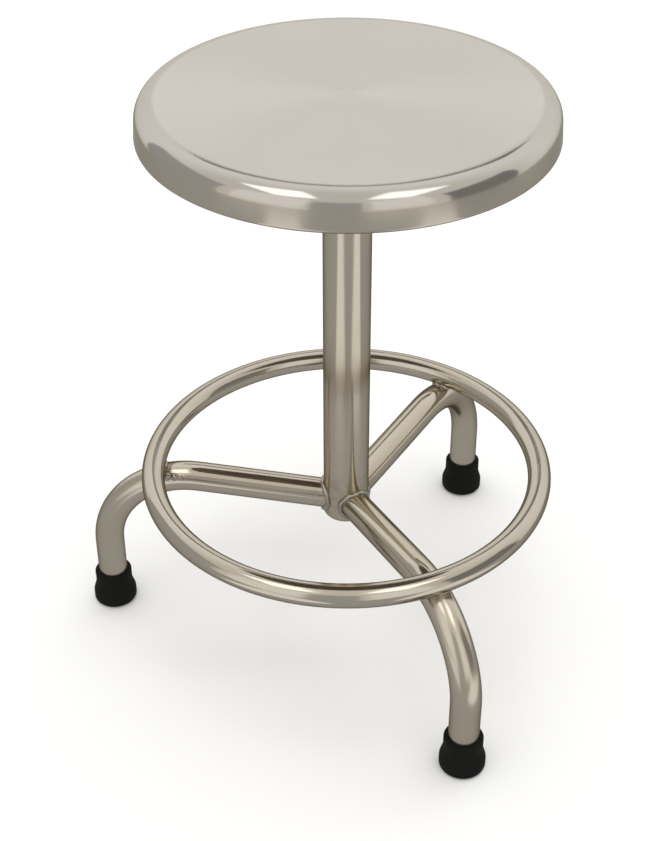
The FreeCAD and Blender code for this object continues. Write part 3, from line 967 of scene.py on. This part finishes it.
@dataclass
class LegFrame:
    """The column, the legs, the foot ring and the welds between them."""

    column_radius: float = 19.0 * MM
    leg_radius: float = 12.5 * MM
    joint_height: float = 0.128
    rise: float = math.radians(6.5)
    bend_out: float = 0.134
    bend_up: float = 0.06662
    bend_radius: float = 0.074
    ring_out: float = 0.1615
    ring_up: float = 0.15777
    ring_radius: float = 9.5 * MM
    bead_lift: float = 0.25 * MM
    leg_bead: float = 2.6 * MM
    leg_drops: int = 60
    leg_ripple: float = 0.05
    leg_ripple_step: float = 0.83
    ring_bead: float = 3.6 * MM
    ring_drops: int = 13
    ring_ripple: float = 0.06
    ring_ripple_step: float = 0.9
    ring_weld_share: float = 0.97

    def build(self) -> None:
        """Lays the welds."""
        bead = WeldBead().lay(self.leg_weld_drops(), "leg_bead")
        beads = [copied(bead, round_column(turn), f"leg_bead_{i}") for i, turn in enumerate(LEG_TURNS)]
        bpy.data.objects.remove(bead)
        fit(joined(beads, "leg_weld_beads"), "base", Finishes.WELD, "leg_welds")
        rings = []
        for i, turn in enumerate(LEG_TURNS):
            drops = self.ring_weld_drops() + (self.tail_drops() if i == LEFT_LEG else [])
            bead = WeldBead().lay(drops, "ring_bead")
            rings.append(copied(bead, round_column(turn), f"ring_bead_{i}"))
            bpy.data.objects.remove(bead)
        fit(joined(rings, "ring_weld_beads"), "base", Finishes.WELD, "ring_welds")

    def leg_weld_drops(self) -> list[Drop]:
        """The drops round a leg along +X where it meets the column."""
        off = self.leg_radius + self.bead_lift
        out = self.column_radius + self.bead_lift
        drops = []
        for i in range(self.leg_drops):
            turn = math.tau * i / self.leg_drops
            side = off * math.sin(turn)
            along = math.sqrt(out ** 2 - side ** 2)
            centre = self.joint_height + (along - self.column_radius) * math.tan(self.rise)
            up = centre + off * math.cos(turn) / math.cos(self.rise)
            ripple = self.leg_ripple * math.sin(self.leg_ripple_step * i)
            drops.append(Drop(Vector((along, side, up)), self.leg_bead * (1 + ripple)))
        return drops

    def ring_weld_drops(self) -> list[Drop]:
        """The drops round the patch where the ring rests on a leg along +X."""
        ring = Vector((self.ring_out - self.bend_out, self.ring_up - self.bend_up))
        apart = ring.length
        to_ring = ring / apart
        across = Vector((-to_ring.y, to_ring.x))
        near = self.ring_radius + self.bead_lift
        off = self.leg_radius + self.bead_lift
        widest = math.sqrt(off ** 2 - (apart - self.bend_radius - near) ** 2)
        drops = []
        for i in range(self.ring_drops):
            side = widest * self.ring_weld_share * math.sin(math.pi * (i / (self.ring_drops - 1) - 0.5))
            far = self.bend_radius + math.sqrt(off ** 2 - side ** 2)
            along = (far ** 2 - near ** 2 + apart ** 2) / (2 * apart)
            chord = math.sqrt(max(far ** 2 - along ** 2, 0.0))
            for sign in (1.0, -1.0):
                spot = to_ring * along + across * (sign * chord)
                place = Vector((self.bend_out + spot.x, side, self.bend_up + spot.y))
                ripple = self.ring_ripple * math.sin(self.ring_ripple_step * i + sign)
                drops.append(Drop(place, self.ring_bead * (1 + ripple)))
        return drops

    def tail_drops(self) -> list[Drop]:
        """The drops that run out along the left leg, on the column's side of the ring."""
        return [
            Drop(self.on_leg(0.1494, 54.0), 3.9 * MM),
            Drop(self.on_leg(0.1436, 57.0), 3.6 * MM),
            Drop(self.on_leg(0.1388, 62.0), 2.4 * MM),
        ]

    def on_leg(self, out: float, tilt: float) -> Vector:
        """A point on the upper side of a leg along +X.

        Args:
            out: Its distance from the column's axis, along the leg's centre line.
            tilt: How far down the side it lies from the top, in degrees.

        Returns:
            The point.
        """
        level = self.bend_up + math.sqrt(self.bend_radius ** 2 - (out - self.bend_out) ** 2)
        lean = Vector((out - self.bend_out, 0.0, level - self.bend_up)).normalized()
        turn = math.radians(tilt)
        offset = lean * math.cos(turn) + Vector((0.0, 1.0, 0.0)) * math.sin(turn)
        return Vector((out, 0.0, level)) + offset * self.leg_radius

    def dress(self) -> None:
        """Gives the tubes their finish."""
        for name in ("column_tube", "column_end_cap"):
            Finishes.COLUMN.value.on_node(name)
        Finishes.RING.value.on_node("foot_ring")
        for name in ("left_leg", "front_leg", "rear_leg"):
            Finishes.LEG.value.on_node(name)


@dataclass
class Feet:
    """The rubber feet and the washers in them."""

    names: tuple[str, ...] = ("left_foot", "front_foot", "rear_foot")

    def dress(self) -> None:
        """Gives the feet their finishes."""
        for name in self.names:
            Finishes.RUBBER.value.on_node(name)
        Finishes.ZINC.value.on_node("foot_washers")


@dataclass(frozen=True)
class Lamp:
    """A soft lamp.

    Args:
        name: Its name.
        place: Where it hangs.
        aim: The point it faces.
        width: Its width.
        height: Its height.
        power: Its power in watts.
        colour: Its colour.
        in_metal: Whether polished metal shows it.
    """

    name: str
    place: Point
    aim: Point
    width: float
    height: float
    power: float
    colour: Colour
    in_metal: bool

    def hang(self) -> None:
        """Adds the lamp."""
        light = bpy.data.lights.new(self.name, "AREA")
        light.shape = "RECTANGLE"
        light.size = self.width
        light.size_y = self.height
        light.energy = self.power
        light.color = self.colour
        lamp = bpy.data.objects.new(self.name, light)
        lamp.location = self.place
        lamp.rotation_euler = (Vector(self.aim) - Vector(self.place)).to_track_quat("-Z", "Y").to_euler()
        lamp.visible_camera = False
        lamp.visible_glossy = self.in_metal
        bpy.context.scene.collection.objects.link(lamp)


class CardTone(Enum):
    """How bright a card is. All are neutral."""

    BRIGHT = (2.0, 2.0, 2.0)
    SOFT = (1.0, 1.0, 1.0)
    GREY = (0.45, 0.45, 0.45)
    DARK = (0.25, 0.25, 0.25)


@dataclass(frozen=True)
class Card:
    """A plain glowing card that lights nothing, which polished metal shows and the camera doesn't: a painted
    reflection.

    Args:
        name: Its name.
        tone: How bright it is.
    """

    name: str
    tone: CardTone

    def corners(self) -> list[Point]:
        """The card's corners in order."""
        raise NotImplementedError

    def hang(self) -> None:
        """Adds the card."""
        mesh = bpy.data.meshes.new(self.name)
        corners = self.corners()
        mesh.from_pydata(corners, [], [list(range(len(corners)))])
        card = bpy.data.objects.new(self.name, mesh)
        bpy.context.scene.collection.objects.link(card)
        paint = bpy.data.materials.new(self.name)
        paint.use_nodes = True
        graph = NodeGraph(paint.node_tree)
        # The card glows with its tone: a painted reflection, bright or dark, seen only in the metal.
        light = graph.add("ShaderNodeEmission", sockets={"Color": self.tone.value})
        graph.add("ShaderNodeOutputMaterial", sockets={"Surface": light.outputs[0]})
        mesh.materials.append(paint)
        card.visible_camera = False
        card.visible_diffuse = False
        card.visible_shadow = False


@dataclass(frozen=True)
class Mat(Card):
    """A round card on the floor, under the stool, seen only in the metal: a painted reflection of a grey
    floor.

    Args:
        radius: Its radius.
    """

    radius: float

    HEIGHT = 0.5 * MM
    SIDES = 64

    def corners(self) -> list[Point]:
        """The corners of a round card."""
        turns = [math.tau * i / self.SIDES for i in range(self.SIDES)]
        return [(self.radius * math.cos(turn), self.radius * math.sin(turn), self.HEIGHT) for turn in turns]


@dataclass(frozen=True)
class Panel(Card):
    """A hanging, standing or lying card.

    Args:
        middle: Its middle.
        across: Half its width, as a vector.
        along: Half its length, as a vector.
    """

    middle: Point
    across: Point
    along: Point

    def corners(self) -> list[Point]:
        """The four corners."""
        middle, across, along = Vector(self.middle), Vector(self.across), Vector(self.along)
        low, high = middle - along, middle + along
        return [tuple(corner) for corner in (low - across, low + across, high + across, high - across)]


@dataclass
class Studio:
    """The floor, the light and the camera."""

    floor_radius: float = 6.0
    floor_sides: int = 96
    floor_colour: Colour = (0.93, 0.93, 0.925)
    floor_cloud: float = 0.985
    room_front: Colour = (0.78, 0.76, 0.72)
    room_back: Colour = (1.0, 1.0, 1.0)
    camera_place: Point = (0.0562, -1.0406, 0.9642)
    camera_tilt: float = 53.906
    camera_pan: float = 3.606
    lens: float = 67.09
    sensor_width: float = 36.0
    lamps: tuple[Lamp, ...] = (
        Lamp("overhead", (0.1, 0.0, 3.0), (0.0, 0.0, 0.0), 4.0, 4.0, 60.0, (0.97, 0.985, 1.0), False),
    )
    # The cards are painted reflections: glowing sheets that light nothing and show only in the metal. The
    # bright ones stand for lamps and lit patches, the grey and dark ones for darker parts of the room.
    cards: tuple[Card, ...] = (
        # Painted reflection: the metal mirrors a grey floor here, while the camera sees the pale one.
        Mat("floor_reflection_card", CardTone.GREY, 2.4),
        Panel("left_bounce", CardTone.SOFT, (-0.42, -0.80, 0.001), (0.15, -0.08, 0.0), (-0.26, -0.48, 0.0)),
        Panel("right_bounce", CardTone.SOFT, (0.65, -0.58, 0.001), (0.12, 0.13, 0.0), (0.40, -0.36, 0.0)),
        Panel("left_softbox", CardTone.SOFT, (-1.3, -1.7, 1.2), (0.65, -0.35, 0.0), (0.0, 0.0, 1.1)),
        Panel("right_softbox", CardTone.SOFT, (1.1, -1.9, 1.2), (0.50, 0.30, 0.0), (0.0, 0.0, 1.1)),
        Panel("left_flag", CardTone.GREY, (-2.2, 0.0, 0.9), (0.0, 1.1, 0.0), (0.0, 0.0, 0.9)),
        Panel("right_flag", CardTone.DARK, (2.1, -0.6, 0.9), (0.2, 0.8, 0.0), (0.0, 0.0, 0.9)),
        Panel("front_flag", CardTone.GREY, (-0.1, -2.2, 1.0), (0.50, 0.0, 0.0), (0.0, 0.0, 1.0)),
        Panel("back_flag", CardTone.DARK, (0.0, 2.7, 2.5), (0.9, 0.0, 0.0), (0.0, 0.5, 0.0)),
        Panel("left_overhead", CardTone.BRIGHT, (-0.9, -0.9, 2.5), (0.45, 0.0, 0.0), (0.0, 0.7, 0.0)),
        Panel("right_overhead", CardTone.BRIGHT, (0.9, -0.9, 2.5), (0.45, 0.0, 0.0), (0.0, 0.7, 0.0)),
    )

    def build(self) -> None:
        """Sets up the whole studio."""
        self.lay_floor()
        self.light_world()
        for lamp in self.lamps:
            lamp.hang()
        for card in self.cards:
            card.hang()
        self.place_camera()
        bpy.context.scene.view_settings.view_transform = "Standard"

    def lay_floor(self) -> None:
        """Adds the pale floor."""
        bench = Bench(
            "floor", Primitive.CIRCLE, vertices=self.floor_sides, radius=self.floor_radius, fill_type="NGON",
        )
        floor = bench.done(smooth_below=30.0)
        paint = bpy.data.materials.new("floor_paint")
        paint.use_nodes = True
        graph = NodeGraph(paint.node_tree)
        place = SurfacePlace(graph)
        cloud = graph.noise(place.vector, 1.5)
        dimmer = tuple(self.floor_cloud * channel for channel in self.floor_colour)
        tone = graph.blend(cloud, self.floor_colour, dimmer)
        matt = graph.add("ShaderNodeBsdfDiffuse", sockets={"Color": tone})
        graph.add("ShaderNodeOutputMaterial", sockets={"Surface": matt.outputs[0]})
        floor.data.materials.append(paint)

    def light_world(self) -> None:
        """Lights the room: pale behind the stool, dimmer in front of it and at its sides."""
        world = bpy.data.worlds.new("room")
        bpy.context.scene.world = world
        world.use_nodes = True
        graph = NodeGraph(world.node_tree)
        view = graph.add("ShaderNodeTexCoord").outputs["Generated"]
        parts = graph.add("ShaderNodeSeparateXYZ", sockets={0: view}).outputs
        back = Signal(graph, parts[1])
        room = graph.blend(back.rise(-0.1, 0.6), self.room_front, self.room_back)
        glow = graph.add("ShaderNodeBackground", sockets={"Color": room, "Strength": 1.0})
        graph.add("ShaderNodeOutputWorld", sockets={"Surface": glow.outputs[0]})

    def place_camera(self) -> None:
        """Sets up the camera at the photograph's viewing angle."""
        camera = bpy.data.cameras.new("camera")
        camera.sensor_width = self.sensor_width
        camera.lens = self.lens
        eye = bpy.data.objects.new("camera", camera)
        eye.location = self.camera_place
        eye.rotation_euler = (math.radians(self.camera_tilt), 0.0, math.radians(self.camera_pan))
        bpy.context.scene.collection.objects.link(eye)
        bpy.context.scene.camera = eye


def main() -> None:
    """Builds the stool's looks in order."""
    logging.basicConfig(level=logging.INFO, format="%(message)s")
    seat, lift, legs, feet = Seat(), Lift(), LegFrame(), Feet()
    for group in (seat, lift, legs):
        group.build()
    for group in (seat, lift, legs, feet):
        group.dress()
    Studio().build()


if __name__ == "__main__":
    main()
